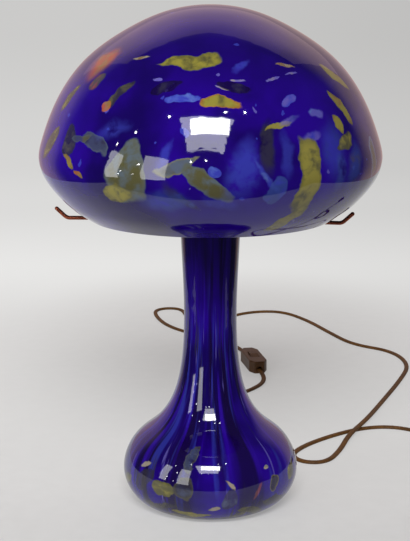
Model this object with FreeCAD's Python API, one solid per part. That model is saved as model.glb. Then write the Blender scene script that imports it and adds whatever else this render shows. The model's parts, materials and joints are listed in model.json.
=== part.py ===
"""Mushroom table lamp: a blown glass shade cradled by three wire hooks on a hollow blown glass foot.

Millimetres, +Z up, -Y towards the viewer.  The origin is the centre of the foot on the table.
"""
import FreeCAD, Part
import math
import os

os.makedirs("parts", exist_ok=True)
V = FreeCAD.Vector
UP = V(0, 0, 1)
ORIGIN = V(0, 0, 0)

# ---- glass ----------------------------------------------------------------------------------------------
SHADE_WALL = 4.0
SHADE_OUTLINE = [  # radius, height: apex, dome, widest point, tucked-in side, rim
    (0.0, 447.6), (43.0, 440.5), (73.5, 426.3), (111.2, 398.3), (133.9, 365.8),
    (146.9, 333.0), (150.0, 317.5), (145.5, 300.7), (131.4, 282.1), (107.0, 263.5),
]
RIM_HEADING = V(-0.85, 0, -0.527)        # direction of the glass where it ends at the rim
FOOT_WALL = 4.5
NECK_TOP = 252.0
FOOT_OUTLINE = [  # radius, height: lip of the neck, waist, flare, bell, widest point, contact ring
    (26.7, NECK_TOP), (25.0, 216.5), (23.7, 170.0), (26.6, 126.6), (35.2, 95.8), (49.9, 75.3),
    (67.2, 60.8), (78.2, 41.3), (79.3, 27.5), (72.8, 11.3), (56.0, 0.0),
]
CONTACT_RING_INNER = 50.0
KICK_HEIGHT = 9.0            # how far the underside is pushed in
BASE_THICKNESS = 5.0
CORD_HOLE_HEIGHT = 26.0
CORD_HOLE_RADIUS = 4.6
HOLE_SEAM = 30.0             # turns the seam of the drilled hole off the widest ring of the glass
CORNER_INSIDE = 11.0         # from the glass to where the inner floor turns up

# ---- neck fitting, all on one M10 x 1 tube ---------------------------------------------------------------
TUBE_RADIUS = 5.0
TUBE_BORE = 3.7
TUBE_BOTTOM, TUBE_TOP = 200.0, 276.0
BUNG_RADIUS = 20.1
BUNG_BOTTOM, BUNG_TOP = 210.0, 232.0
WASHER_THICKNESS = 1.6
NUT_HEIGHT = 5.0
NUT_FLATS = 14.0
CAP_RADIUS = 28.6
CAP_SKIRT = 4.0
CAP_SHEET = 1.2
GASKET_HEIGHT = 1.5
GASKET_BORE = 21.8
WASHER_RADIUS = 17.0
THREAD_BORE = TUBE_RADIUS + 0.05

# ---- shade hooks -----------------------------------------------------------------------------------------
HOOK_WIRE = 1.75             # radius of the wire
HOOKS = {  # azimuth, radius at which the wire turns up
    "right": (348.0, 117.0), "left": (179.0, 127.5), "back": (85.0, 122.0),
}
HOOK_ROOT = 6.5              # radius at which a wire starts inside the hub
HOOK_CRANK = (82.0, 93.0)    # radii between which it rises to the rim
HOOK_REST = 261.15           # its height under the rim
HOOK_TIP = V(9.0, 0, 8.4)    # the turned-up end
HOOK_BENDS = [12.0, 12.0, 7.0]
HUB_RADIUS = 13.0
HUB_HEIGHT = 8.0

# ---- lampholder for an E27 bulb --------------------------------------------------------------------------
HOLDER_RADIUS = 19.5
HOLDER_WALL = 1.0
HOLDER_BOTTOM = 268.0
HOLDER_JOIN = 290.0
HOLDER_TOP = 328.0
INSERT_RADIUS = 17.6
INSERT_BOTTOM, INSERT_TOP = 286.0, 299.0
THREAD_RADIUS = 13.1         # E27 cap, over the thread
THREAD_CLEARANCE = 0.08
TERMINAL_OFFSET = 9.0

# ---- bulb ------------------------------------------------------------------------------------------------
BULB_TIP = 302.0             # height of its bottom contact when screwed home
BULB_LENGTH = 108.0
BULB_RADIUS = 30.0
BULB_WALL = 0.8
BULB_CAP_HEIGHT = 22.0

# ---- cord ------------------------------------------------------------------------------------------------
CORD = 5.4                   # width of the flat flex; the tubes here are round
FLOOR = CORD / 2             # height of a cord that lies on the table
OVER = 2.5 * CORD            # height where it passes over itself
IN_SWITCH = 8.0              # how far the cord reaches into each end of the switch
EXIT = V(0, 76.0, CORD_HOLE_HEIGHT)
SWITCH_HEADING = math.radians(101.0)     # from the near end to the far end
SWITCH_NEAR = V(60.0, 405.0, 0.0)
SWITCH_LENGTH = 68.0
SWITCH_WIDTH = 22.0
SWITCH_JOIN = 8.0
SWITCH_HEIGHT = 15.0
SWITCH_WALL = 1.8
RUN_INTO_SWITCH = 36.0       # the last run of cord before the switch
RUN_FROM_SWITCH = 44.0       # the first run after it
ROUTE_TO_SWITCH = [
    V(0, 122, CORD_HOLE_HEIGHT), V(-5, 168, 13), V(-14, 214, FLOOR), V(-8, 262, FLOOR), V(16, 300, FLOOR),
    V(47, 330, FLOOR),
]
ROUTE_TO_COIL = [
    V(13, 568, FLOOR), V(-26, 592, FLOOR), V(-58, 632, FLOOR), V(-75, 680, FLOOR),
    V(-81, 724, FLOOR), V(-63, 740, FLOOR), V(-41, 732, FLOOR), V(-34, 690, FLOOR), V(-23, 648, FLOOR),
    V(8, 648, FLOOR), V(34, 698, FLOOR), V(70, 720, FLOOR), V(106, 716, FLOOR), V(137, 664, FLOOR),
    V(161, 598, FLOOR), V(186, 536, FLOOR), V(234, 504, FLOOR), V(247, 440, FLOOR), V(226, 372, FLOOR),
    V(196, 292, FLOOR), V(168, 210, OVER), V(144, 160, OVER), V(132, 124, FLOOR), V(116, 88, FLOOR),
    V(92, 87, FLOOR), V(80, 108, FLOOR), V(98, 140, FLOOR), V(134, 175, FLOOR), V(167, 196, FLOOR),
    V(197, 198, FLOOR),
]

# ---- the coil of spare cord and the plug -----------------------------------------------------------------
COIL_OUTER = 33.8            # centreline radius of the outer turn
COIL_PITCH = 6.2
COIL_LAYER = 6.0             # height between the two layers
TURNS_PER_LAYER = 1.6
TIE_THICKNESS = 0.6
TIE_WIDTH = 9.0
TIE_AZIMUTH = math.radians(130.0)
RUN_AT_COIL = 30.0           # the run of cord before the first turn and after the last
RUN_AT_PLUG = 41.0
PLUG_TURN = math.radians(10.0)           # how far the cord turns between the coil and the plug
COIL_FLOOR = FLOOR + TIE_THICKNESS + 0.1
COIL_CENTRE = V(268.0, 192.0, 0.0)
COIL_START = math.radians(236.0)         # where the cord meets the outer turn
PLUG_LENGTH = 34.0
PLUG_WIDTH = 35.0
PLUG_HEIGHT = 13.7
PIN_RADIUS = 2.0
PIN_SPACING = 18.6
PIN_LENGTH = 19.0
BOOT_LENGTH = 24.0


# ---- helpers ---------------------------------------------------------------------------------------------
def save(name, shape):
    shape.exportStep(os.path.join("parts", name + ".step"))
    print(f"{name:22s} {shape.Volume / 1000:9.3f} cm3  solids {len(shape.Solids)}  valid {shape.isValid()}")
    return shape


def ring(outer, inner, bottom, top):
    """A plain washer, or a disc where inner is nothing."""
    solid = Part.makeCylinder(outer, top - bottom, UP * bottom)
    if inner:
        solid = solid.cut(Part.makeCylinder(inner, top - bottom, UP * bottom))
    return solid


def hexagon(flats, bottom, height, bore):
    corners = [V(math.cos(math.radians(a)), math.sin(math.radians(a)), 0) * (flats / math.sqrt(3))
               for a in range(0, 361, 60)]
    solid = Part.Face(Part.makePolygon(corners)).extrude(UP * height)
    solid.translate(UP * bottom)
    return solid.cut(Part.makeCylinder(bore, height, UP * bottom))


def revolve(edges):
    """Turn a closed outline in the XZ plane about the Z axis."""
    return Part.Face(Part.Wire(Part.__sortEdges__(edges))).revolve(ORIGIN, UP, 360)


def polyline_revolve(outline):
    points = [V(r, 0, z) for r, z in outline]
    return Part.Face(Part.makePolygon(points + points[:1])).revolve(ORIGIN, UP, 360)


def smooth_curve(points, first=None, last=None):
    curve = Part.BSplineCurve()
    if first and last:
        curve.interpolate(Points=points, InitialTangent=first, FinalTangent=last)
    else:
        curve.interpolate(Points=points)
    return curve


def inset_points(curve, points, wall):
    """The stations of a curve moved inwards, square to it, by the wall."""
    moved = []
    for point in points:
        tangent = V(curve.tangent(curve.parameter(point))[0])
        moved.append(point + V(tangent.z, 0, -tangent.x) * wall)
    return moved


def line(a, b):
    return Part.LineSegment(a, b).toShape()


def arc(a, middle, b):
    return Part.Arc(a, middle, b).toShape()


def rounded_path(points, bends=None, share=0.45):
    """Straight runs joined by tangent arcs; each arc is as large as its two runs allow, or a given bend."""
    edges = []
    radii = []
    start = points[0]
    for i in range(1, len(points) - 1):
        back = points[i - 1] - points[i]
        ahead = points[i + 1] - points[i]
        shorter = min(back.Length, ahead.Length)
        back.normalize()
        ahead.normalize()
        half_turn = (math.pi - back.getAngle(ahead)) / 2
        setback = bends[i - 1] * math.tan(half_turn) if bends else share * shorter
        radius = setback / math.tan(half_turn)
        inward = back + ahead
        inward.normalize()
        middle = points[i] + inward * (radius / math.cos(half_turn) - radius)
        edges.append(line(start, points[i] + back * setback))
        edges.append(arc(points[i] + back * setback, middle, points[i] + ahead * setback))
        start = points[i] + ahead * setback
        radii.append(radius)
    edges.append(line(start, points[-1]))
    return Part.Wire(edges), radii


def tube_along(wire, radius, start, heading):
    section = Part.Wire(Part.makeCircle(radius, start, heading))
    return wire.makePipeShell([section], True, False)


def cord_tube(name, points):
    wire, radii = rounded_path(points)
    solid = tube_along(wire, CORD / 2, points[0], points[1] - points[0])
    expected = math.pi * (CORD / 2) ** 2 * wire.Length
    print(f"{name}: length {wire.Length:.0f} mm, radii {[round(r) for r in radii]}, "
          f"volume ratio {solid.Volume / expected:.3f}")
    return solid, wire.Length


def polar(radius, angle, height=0.0):
    return V(radius * math.cos(angle), radius * math.sin(angle), height)


def placed(solid, position, heading):
    """Turn a piece built along +X to its heading and put it in its place."""
    solid.rotate(ORIGIN, UP, math.degrees(heading))
    solid.translate(position)
    return solid


# ---- shade -----------------------------------------------------------------------------------------------
def make_shade():
    outer_points = [V(r, 0, z) for r, z in SHADE_OUTLINE]
    outer = smooth_curve(outer_points, V(1, 0, 0), RIM_HEADING)
    inner_points = inset_points(outer, outer_points, SHADE_WALL)
    inner = smooth_curve(inner_points, V(1, 0, 0), RIM_HEADING)
    rim_middle = (outer_points[-1] + inner_points[-1]) * 0.5 + RIM_HEADING * (SHADE_WALL / 2)
    return revolve([outer.toShape(), arc(outer_points[-1], rim_middle, inner_points[-1]), inner.toShape(),
                    line(inner_points[0], outer_points[0])])


# ---- foot ------------------------------------------------------------------------------------------------
def make_foot():
    outer_points = [V(r, 0, z) for r, z in FOOT_OUTLINE]
    outer = smooth_curve(outer_points)
    inner_points = inset_points(outer, outer_points[:-2], FOOT_WALL)
    inner_points[0].z = NECK_TOP
    floor_edge = V(FOOT_OUTLINE[-2][0] - CORNER_INSIDE, 0, KICK_HEIGHT + BASE_THICKNESS)
    floor_middle = V(0, 0, KICK_HEIGHT + BASE_THICKNESS)
    inner = smooth_curve(inner_points + [floor_edge])
    ring_edge = V(CONTACT_RING_INNER, 0, 0)
    kick_top = V(0, 0, KICK_HEIGHT)
    kick_radius = (CONTACT_RING_INNER ** 2 + KICK_HEIGHT ** 2) / (2 * KICK_HEIGHT)
    halfway = CONTACT_RING_INNER / 2
    kick_middle = V(halfway, 0, KICK_HEIGHT - kick_radius + math.sqrt(kick_radius ** 2 - halfway ** 2))
    outline = [outer.toShape(), line(outer_points[-1], ring_edge), arc(ring_edge, kick_middle, kick_top),
               line(kick_top, floor_middle), line(floor_middle, floor_edge), inner.toShape(),
               line(inner_points[0], outer_points[0])]
    hole = Part.makeCylinder(CORD_HOLE_RADIUS, 60, V(0, 50, CORD_HOLE_HEIGHT), V(0, 1, 0))
    hole.rotate(UP * CORD_HOLE_HEIGHT, V(0, 1, 0), HOLE_SEAM)
    return revolve(outline).cut(hole)


# ---- neck fitting ----------------------------------------------------------------------------------------
CAP_BOTTOM = NECK_TOP + GASKET_HEIGHT
HUB_BOTTOM = CAP_BOTTOM + CAP_SHEET
HUB_TOP = HUB_BOTTOM + HUB_HEIGHT


def make_neck_cap():
    skirt = CAP_RADIUS - CAP_SHEET
    return polyline_revolve([
        (THREAD_BORE, CAP_BOTTOM), (skirt, CAP_BOTTOM), (skirt, HUB_BOTTOM - CAP_SKIRT),
        (CAP_RADIUS, HUB_BOTTOM - CAP_SKIRT), (CAP_RADIUS, HUB_BOTTOM), (THREAD_BORE, HUB_BOTTOM)])


def make_grommet():
    """A rubber sleeve through the glass: a barb inside, a flange outside and a tapered tail."""
    bore = CORD / 2 + 0.05
    barrel = CORD_HOLE_RADIUS - 0.1
    seat = 79.6
    solid = polyline_revolve([
        (bore, 69), (barrel, 69), (5.6, 70.4), (5.6, 71.8), (barrel, 72.4), (barrel, seat), (7.5, seat),
        (7.5, seat + 2), (5.4, seat + 3.4), (3.9, seat + 22), (bore, seat + 22)])
    solid.rotate(ORIGIN, V(1, 0, 0), -90)
    solid.translate(UP * CORD_HOLE_HEIGHT)
    return solid


# ---- shade hooks -----------------------------------------------------------------------------------------
def make_hook(azimuth, reach):
    mid_plane = HUB_BOTTOM + HUB_HEIGHT / 2
    turn = V(reach, 0, HOOK_REST)
    points = [V(HOOK_ROOT, 0, mid_plane), V(HOOK_CRANK[0], 0, mid_plane), V(HOOK_CRANK[1], 0, HOOK_REST),
              turn, turn + HOOK_TIP]
    wire, _ = rounded_path(points, HOOK_BENDS)
    solid = tube_along(wire, HOOK_WIRE, points[0], points[1] - points[0])
    tip = Part.makeSphere(HOOK_WIRE, points[-1])
    solid = solid.fuse(tip).removeSplitter()
    solid.rotate(ORIGIN, UP, azimuth)
    return solid


def make_hub(hooks):
    hub = ring(HUB_RADIUS, THREAD_BORE, HUB_BOTTOM, HUB_TOP)
    edges = [e for e in hub.Edges if e.Curve.TypeId == "Part::GeomCircle" and e.Curve.Radius > HUB_RADIUS - 1]
    hub = hub.makeChamfer(1.0, edges)
    for hook in hooks:
        hub = hub.cut(hook)
    return hub


# ---- lampholder ------------------------------------------------------------------------------------------
def make_holder_cap():
    inner = HOLDER_RADIUS - HOLDER_WALL - 0.1
    return polyline_revolve([
        (THREAD_BORE, HOLDER_BOTTOM), (9.0, HOLDER_BOTTOM), (9.0, HOLDER_BOTTOM + 6),
        (HOLDER_RADIUS, HOLDER_JOIN - 8), (HOLDER_RADIUS, HOLDER_JOIN), (inner, HOLDER_JOIN),
        (inner, HOLDER_JOIN - 7.4), (9.0, HOLDER_BOTTOM + 7.6), (THREAD_BORE, HOLDER_BOTTOM + 7.6)])


def make_holder_shell():
    inner = HOLDER_RADIUS - HOLDER_WALL
    collar = inner - 0.15
    mouth = THREAD_RADIUS + 1.5
    return polyline_revolve([
        (collar - 0.6, HOLDER_JOIN - 3.5), (collar, HOLDER_JOIN - 3.5), (collar, HOLDER_JOIN + 0.2),
        (HOLDER_RADIUS, HOLDER_JOIN + 0.2), (HOLDER_RADIUS, HOLDER_TOP - 1.6), (inner - 0.5, HOLDER_TOP),
        (mouth, HOLDER_TOP), (mouth, HOLDER_TOP - 1.1), (inner - 0.9, HOLDER_TOP - 1.1),
        (inner, HOLDER_TOP - 2), (inner, HOLDER_JOIN + 1), (collar - 0.6, HOLDER_JOIN + 1)])


def make_terminal_screws():
    screws = []
    for side in (-1, 1):
        axis = V(side * TERMINAL_OFFSET, 0, 0)
        head = Part.makeCylinder(2.6, 2.2, axis + UP * (INSERT_BOTTOM - 2.2))
        slot = Part.makeBox(6, 0.8, 0.9, axis + V(-3, -0.4, INSERT_BOTTOM - 2.2))
        shank = Part.makeCylinder(1.5, 7, axis + UP * INSERT_BOTTOM)
        screws.append(head.cut(slot).fuse(shank).removeSplitter())
    return Part.makeCompound(screws)


def make_screw_shell():
    inner = THREAD_RADIUS + THREAD_CLEARANCE
    outer = inner + 0.5
    return polyline_revolve([
        (inner, INSERT_TOP), (INSERT_RADIUS - 1.5, INSERT_TOP), (INSERT_RADIUS - 1.5, INSERT_TOP + 0.6),
        (outer, INSERT_TOP + 0.6), (outer, HOLDER_TOP - 1.4), (inner, HOLDER_TOP - 1.4)])


def make_centre_contact():
    strip = Part.makeBox(14, 5, 0.6, V(-7, -2.5, INSERT_TOP))
    button = Part.makeCylinder(2.4, BULB_TIP - INSERT_TOP - 0.62, UP * (INSERT_TOP + 0.6))
    return strip.fuse(button).removeSplitter()


def make_inner_flex():
    """The flex inside the foot: in at the back, up the neck and through the threaded tube."""
    height = EXIT.z
    points = [EXIT, V(0, 44, height), V(0, 10, height + 12), V(0, 0, height + 50), V(0, -1, 120),
              V(0, 0, TUBE_BOTTOM - 20), V(0, 0, TUBE_TOP + 1.5)]
    wire, _ = rounded_path(points)
    return tube_along(wire, CORD / 2, points[0], points[1] - points[0])


def make_leads():
    leads = []
    for side in (-1, 1):
        points = [V(side * 1.5, 0, TUBE_TOP + 1.5), V(side * 1.5, 0, TUBE_TOP + 5),
                  V(side * (TERMINAL_OFFSET - 3.1), 0, INSERT_BOTTOM - 1.2)]
        wire, _ = rounded_path(points)
        leads.append(tube_along(wire, 1.0, points[0], UP))
    return Part.makeCompound(leads)


# ---- bulb ------------------------------------------------------------------------------------------------
SOCKET_END = BULB_TIP + 6
CAP_END = SOCKET_END + BULB_CAP_HEIGHT
BULB_TOP = BULB_TIP + BULB_LENGTH
BULB_OUTLINE = [  # radius, height: neck inside the cap, neck, shoulder, widest point, crown
    (12.4, CAP_END - 10), (12.8, CAP_END + 2), (18.5, CAP_END + 18), (27.0, CAP_END + 36),
    (BULB_RADIUS, BULB_TOP - 29), (25.2, BULB_TOP - 12.5), (13.0, BULB_TOP - 2.6), (0.0, BULB_TOP),
]


def make_bulb_glass():
    outer_points = [V(r, 0, z) for r, z in BULB_OUTLINE]
    outer = smooth_curve(outer_points, V(0, 0, 1), V(-1, 0, 0))
    inner_points = inset_points(outer, outer_points, -BULB_WALL)
    inner = smooth_curve(inner_points, V(0, 0, 1), V(-1, 0, 0))
    return revolve([outer.toShape(), line(outer_points[0], inner_points[0]), inner.toShape(),
                    line(inner_points[-1], outer_points[-1])])


def make_bulb_cap():
    return ring(THREAD_RADIUS, THREAD_RADIUS - 0.4, SOCKET_END, CAP_END)


def make_stem():
    return polyline_revolve([
        (0, CAP_END - 10), (11.0, CAP_END - 10), (11.0, CAP_END - 8.5), (4.0, CAP_END),
        (3.0, CAP_END + 22), (0, CAP_END + 24)])


def make_filament():
    height = CAP_END + 44
    reach = 13.0
    bow = Part.Wire([arc(V(reach, 0, height), V(0, reach, height), V(-reach, 0, height))])
    solid = tube_along(bow, 0.6, V(reach, 0, height), V(0, 1, 0))
    for side in (-1, 1):
        foot = V(side * 1.4, 0, CAP_END + 18)
        rod = V(side * reach, 0, height) - foot
        solid = solid.fuse(Part.makeCylinder(0.5, rod.Length, foot, rod))
    return solid.removeSplitter()


# ---- in-line switch, built along +X about its middle and then turned into place --------------------------
ROCKER_LENGTH = 22.0
ROCKER_WIDTH = 10.0
ROCKER_TILT = 9.0            # the rocker rests this far to its off side
ROCKER_PIVOT = SWITCH_HEIGHT - 3.5
ROCKER_GAP = 0.5
CORD_AXIS = SWITCH_JOIN - 2.5
SWITCH_PIN = 1.0
SCREW_OFFSET = 22.0


def switch_place():
    along = polar(1, SWITCH_HEADING)
    return SWITCH_NEAR + along * (SWITCH_LENGTH / 2)


def in_place(solid):
    return placed(solid, switch_place(), SWITCH_HEADING)


def switch_body():
    """The outer form: narrow rounded ends, a straight middle, softened edges."""
    half = SWITCH_LENGTH / 2
    side = SWITCH_WIDTH / 2
    corners = [V(-half, -side + 5, 0), V(-half + 10, -side, 0), V(half - 10, -side, 0), V(half, -side + 5, 0),
               V(half, side - 5, 0), V(half - 10, side, 0), V(-half + 10, side, 0), V(-half, side - 5, 0)]
    solid = Part.Face(Part.makePolygon(corners + corners[:1])).extrude(UP * SWITCH_HEIGHT)
    upright = [e for e in solid.Edges if e.BoundBox.ZLength > SWITCH_HEIGHT - 0.1]
    solid = solid.makeFillet(2.5, upright)
    rims = [e for e in solid.Edges if e.BoundBox.ZLength < 0.01]
    return solid.makeFillet(1.6, rims)


def switch_space():
    """The hollow inside the switch, the cord's way in at each end and the rocker's slot."""
    length = SWITCH_LENGTH - 2 * SWITCH_WALL
    width = SWITCH_WIDTH - 2 * SWITCH_WALL
    space = Part.makeBox(length - 12, width, SWITCH_HEIGHT - 2 * SWITCH_WALL,
                         V(-length / 2 + 6, -width / 2, SWITCH_WALL))
    way = Part.makeCylinder(CORD / 2 + 0.5, SWITCH_LENGTH + 2, V(-SWITCH_LENGTH / 2 - 1, 0, CORD_AXIS),
                            V(1, 0, 0))
    slot = Part.makeBox(ROCKER_LENGTH + 2 * ROCKER_GAP, ROCKER_WIDTH + 2 * ROCKER_GAP, SWITCH_HEIGHT,
                        V(-ROCKER_LENGTH / 2 - ROCKER_GAP, -ROCKER_WIDTH / 2 - ROCKER_GAP, SWITCH_JOIN))
    return space.fuse(way).fuse(slot)


def screw_holes(radius, bottom, top):
    return [Part.makeCylinder(radius, top - bottom, V(side * SCREW_OFFSET, side * 5.5, bottom))
            for side in (-1, 1)]


def make_switch_shells():
    body = switch_body().cut(switch_space())
    posts = [post.cut(Part.makeCylinder(1.1, SWITCH_HEIGHT, V(*post.CenterOfMass[:2], 0)))
             for post in screw_holes(2.4, SWITCH_WALL / 2, SWITCH_HEIGHT - SWITCH_WALL / 2)]
    for post in posts:
        body = body.fuse(post)
    for hole in screw_holes(1.1, 0, SWITCH_HEIGHT - SWITCH_WALL) + screw_holes(2.2, 0, 2.0):
        body = body.cut(hole)
    ears = [Part.makeBox(5, 2.4, SWITCH_HEIGHT - SWITCH_JOIN - 0.5,
                         V(-2.5, y, SWITCH_JOIN)) for y in (-8.6, 6.2)]
    for ear in ears:
        body = body.fuse(ear)
    pin_way = Part.makeCylinder(SWITCH_PIN, 18, V(0, -9, ROCKER_PIVOT), V(0, 1, 0))
    body = body.cut(pin_way)
    below = Part.makeBox(100, 60, SWITCH_JOIN, V(-50, -30, 0))
    above = Part.makeBox(100, 60, SWITCH_HEIGHT, V(-50, -30, SWITCH_JOIN + 0.02))
    return body.common(below).removeSplitter(), body.common(above).removeSplitter()


def make_rocker():
    """A paddle with two finger faces that meet in a shallow ridge over the pivot pin."""
    half = ROCKER_LENGTH / 2 - 0.3
    top = SWITCH_HEIGHT + 2.2
    outline = [V(-half, 0, top - 1.6), V(0, 0, top - 0.4), V(half, 0, top - 1.6),
               V(half - 0.6, 0, ROCKER_PIVOT), V(3.2, 0, ROCKER_PIVOT - 2.6), V(-3.2, 0, ROCKER_PIVOT - 2.6),
               V(-half + 0.6, 0, ROCKER_PIVOT)]
    solid = Part.Face(Part.makePolygon(outline + outline[:1])).extrude(V(0, ROCKER_WIDTH, 0))
    solid.translate(V(0, -ROCKER_WIDTH / 2, 0))
    ends = [e for e in solid.Edges if e.BoundBox.YLength > ROCKER_WIDTH - 0.1 and e.BoundBox.ZMin > top - 1.8
            and abs(e.BoundBox.XMin) > 5]
    solid = solid.makeFillet(1.0, ends)
    solid = solid.cut(Part.makeCylinder(SWITCH_PIN + 0.05, 20, V(0, -10, ROCKER_PIVOT), V(0, 1, 0)))
    return tilted(solid)


def tilted(solid):
    solid.rotate(V(0, 0, ROCKER_PIVOT), V(0, 1, 0), -ROCKER_TILT)
    return solid


def make_bridge():
    """The sprung contact under the rocker that closes the circuit."""
    return tilted(Part.makeBox(12, 4, 0.5, V(-6, -2, ROCKER_PIVOT - 3.15)))


def make_terminals():
    blocks = []
    for end in (-1, 1):
        for side in (-1, 1):
            blocks.append(Part.makeBox(6, 3.2, 4.2, V(end * 14 - 3, side * 4.6 - 1.6, SWITCH_WALL)))
    return Part.makeCompound(blocks)


def make_switch_screws():
    shanks = screw_holes(1.05, 1.0, SWITCH_HEIGHT - SWITCH_WALL - 0.5)
    heads = screw_holes(2.1, 0.6, 2.0)
    return Part.makeCompound([shank.fuse(head).removeSplitter() for shank, head in zip(shanks, heads)])


# ---- coil ------------------------------------------------------------------------------------------------
COIL_TURNS = 2 * TURNS_PER_LAYER
STEPS_PER_TURN = 4


def coil_point(turns):
    """In along the lower layer, up in the half turn where the spiral reverses, out along the upper one."""
    radius = COIL_OUTER - COIL_PITCH * (TURNS_PER_LAYER - abs(turns - TURNS_PER_LAYER))
    climb = min(max((turns - TURNS_PER_LAYER) * 2 + 0.5, 0.0), 1.0)
    rise = COIL_LAYER * climb * climb * (3 - 2 * climb)
    return COIL_CENTRE + polar(radius, COIL_START + 2 * math.pi * turns, COIL_FLOOR + rise)


def coil_heading(turns):
    step = 0.002
    heading = coil_point(turns + step) - coil_point(turns - step)
    heading.normalize()
    return heading


def tangent_arc(start, heading, end):
    """The arc that leaves start along heading and reaches end."""
    chord = end - start
    half = heading.getAngle(chord)
    inward = chord * (1 / chord.Length)
    side = heading - inward * heading.dot(inward)
    side.normalize()
    sagitta = chord.Length / 2 * math.tan(half / 2)
    return arc(start, start + chord * 0.5 + side * sagitta, end)


def make_coil():
    count = math.ceil(COIL_TURNS * STEPS_PER_TURN)
    stations = [COIL_TURNS * i / count for i in range(count + 1)]
    edges = []
    for near, far in zip(stations, stations[1:]):
        start, end = coil_point(near), coil_point(far)
        start_heading, end_heading = coil_heading(near), coil_heading(far)
        chord = end - start
        a = 2 * (1 - start_heading.dot(end_heading))
        b = 2 * chord.dot(start_heading + end_heading)
        reach = (-b + math.sqrt(b * b + 4 * a * chord.dot(chord))) / (2 * a)
        meeting = (start + start_heading * reach + end - end_heading * reach) * 0.5
        edges.append(tangent_arc(start, start_heading, meeting))
        edges.append(tangent_arc(end, end_heading * -1, meeting))
    wire = Part.Wire(edges)
    solid = tube_along(wire, CORD / 2, coil_point(0), coil_heading(0))
    print(f"coil: {COIL_TURNS} turns, length {wire.Length:.0f} mm, least gap {coil_gap(wire):.2f} mm, "
          f"volume ratio {solid.Volume / (math.pi * (CORD / 2) ** 2 * wire.Length):.3f}")
    return solid, wire.Length


def coil_gap(wire):
    """The least gap between two strands of the coil, measured on points along it."""
    points = wire.discretize(400)
    step = wire.Length / 399
    apart = int(4 * CORD / step)
    least = min((points[i] - points[j]).Length for i in range(400) for j in range(i + apart, 400))
    return least - CORD


def make_tie():
    """A flat band round both layers of the coil."""
    inside = COIL_OUTER - COIL_PITCH * TURNS_PER_LAYER - CORD / 2 - 0.4
    outside = COIL_OUTER + CORD / 2 + 0.4
    top = COIL_FLOOR + COIL_LAYER + CORD / 2 + 0.3
    outer = Part.makeBox(outside - inside + 2 * TIE_THICKNESS, TIE_WIDTH, top + TIE_THICKNESS,
                         V(inside - TIE_THICKNESS, -TIE_WIDTH / 2, 0))
    inner = Part.makeBox(outside - inside, TIE_WIDTH, top - TIE_THICKNESS,
                         V(inside, -TIE_WIDTH / 2, TIE_THICKNESS))
    return placed(outer.cut(inner), COIL_CENTRE, TIE_AZIMUTH)


# ---- plug, built along +X from the end of its cord -------------------------------------------------------
PLUG_AXIS = PLUG_HEIGHT / 2


def plug_frame():
    """The cord's bend after the coil, where it ends in the plug, and the heading of the plug."""
    heading = coil_heading(COIL_TURNS)
    bend = coil_point(COIL_TURNS) + heading * RUN_AT_COIL
    bend.z = PLUG_AXIS
    plug_heading = math.atan2(heading.y, heading.x) - PLUG_TURN
    return bend, bend + polar(RUN_AT_PLUG, plug_heading), plug_heading


def in_plug_place(solid):
    _, cord_end, heading = plug_frame()
    return placed(solid, V(cord_end.x, cord_end.y, 0), heading)


def make_plug_body():
    half = PLUG_WIDTH / 2
    corners = [V(0, -7, 0), V(PLUG_LENGTH * 0.55, -half, 0), V(PLUG_LENGTH, -half, 0),
               V(PLUG_LENGTH, half, 0), V(PLUG_LENGTH * 0.55, half, 0), V(0, 7, 0)]
    solid = Part.Face(Part.makePolygon(corners + corners[:1])).extrude(UP * PLUG_HEIGHT)
    upright = [e for e in solid.Edges if e.BoundBox.ZLength > PLUG_HEIGHT - 0.1]
    solid = solid.makeFillet(3.0, upright)
    rims = [e for e in solid.Edges if e.BoundBox.ZLength < 0.01]
    solid = solid.makeFillet(1.5, rims)
    for y in (-PIN_SPACING / 2, PIN_SPACING / 2):
        solid = solid.cut(Part.makeCylinder(PIN_RADIUS, 8, V(PLUG_LENGTH - 8, y, PLUG_AXIS), V(1, 0, 0)))
    return solid


def make_pins():
    pins = []
    sleeves = []
    face = PLUG_LENGTH
    for y in (-PIN_SPACING / 2, PIN_SPACING / 2):
        core = Part.makeCylinder(PIN_RADIUS - 0.4, PIN_LENGTH + 8, V(face - 8, y, PLUG_AXIS), V(1, 0, 0))
        tip = Part.makeCylinder(PIN_RADIUS, PIN_LENGTH - 10, V(face + 10, y, PLUG_AXIS), V(1, 0, 0))
        round_edges = [e for e in tip.Edges if e.BoundBox.XLength < 0.01 and e.BoundBox.XMin > face + 15]
        pins.append(core.fuse(tip.makeFillet(1.2, round_edges)).common(
            Part.makeBox(PIN_LENGTH + 8, 8, 8, V(face - 8, y - 4, PLUG_AXIS - 4))).removeSplitter())
        sleeve = Part.makeCylinder(PIN_RADIUS, 18, V(face - 8, y, PLUG_AXIS), V(1, 0, 0))
        sleeves.append(sleeve.cut(core))
    return Part.makeCompound(pins), Part.makeCompound(sleeves)


def make_boot():
    bore = CORD / 2 + 0.4
    solid = polyline_revolve([(bore, -BOOT_LENGTH), (3.6, -BOOT_LENGTH), (5.2, 0), (bore, 0)])
    solid.rotate(ORIGIN, V(0, 1, 0), 90)
    solid.translate(UP * PLUG_AXIS)
    return in_plug_place(solid)


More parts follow.
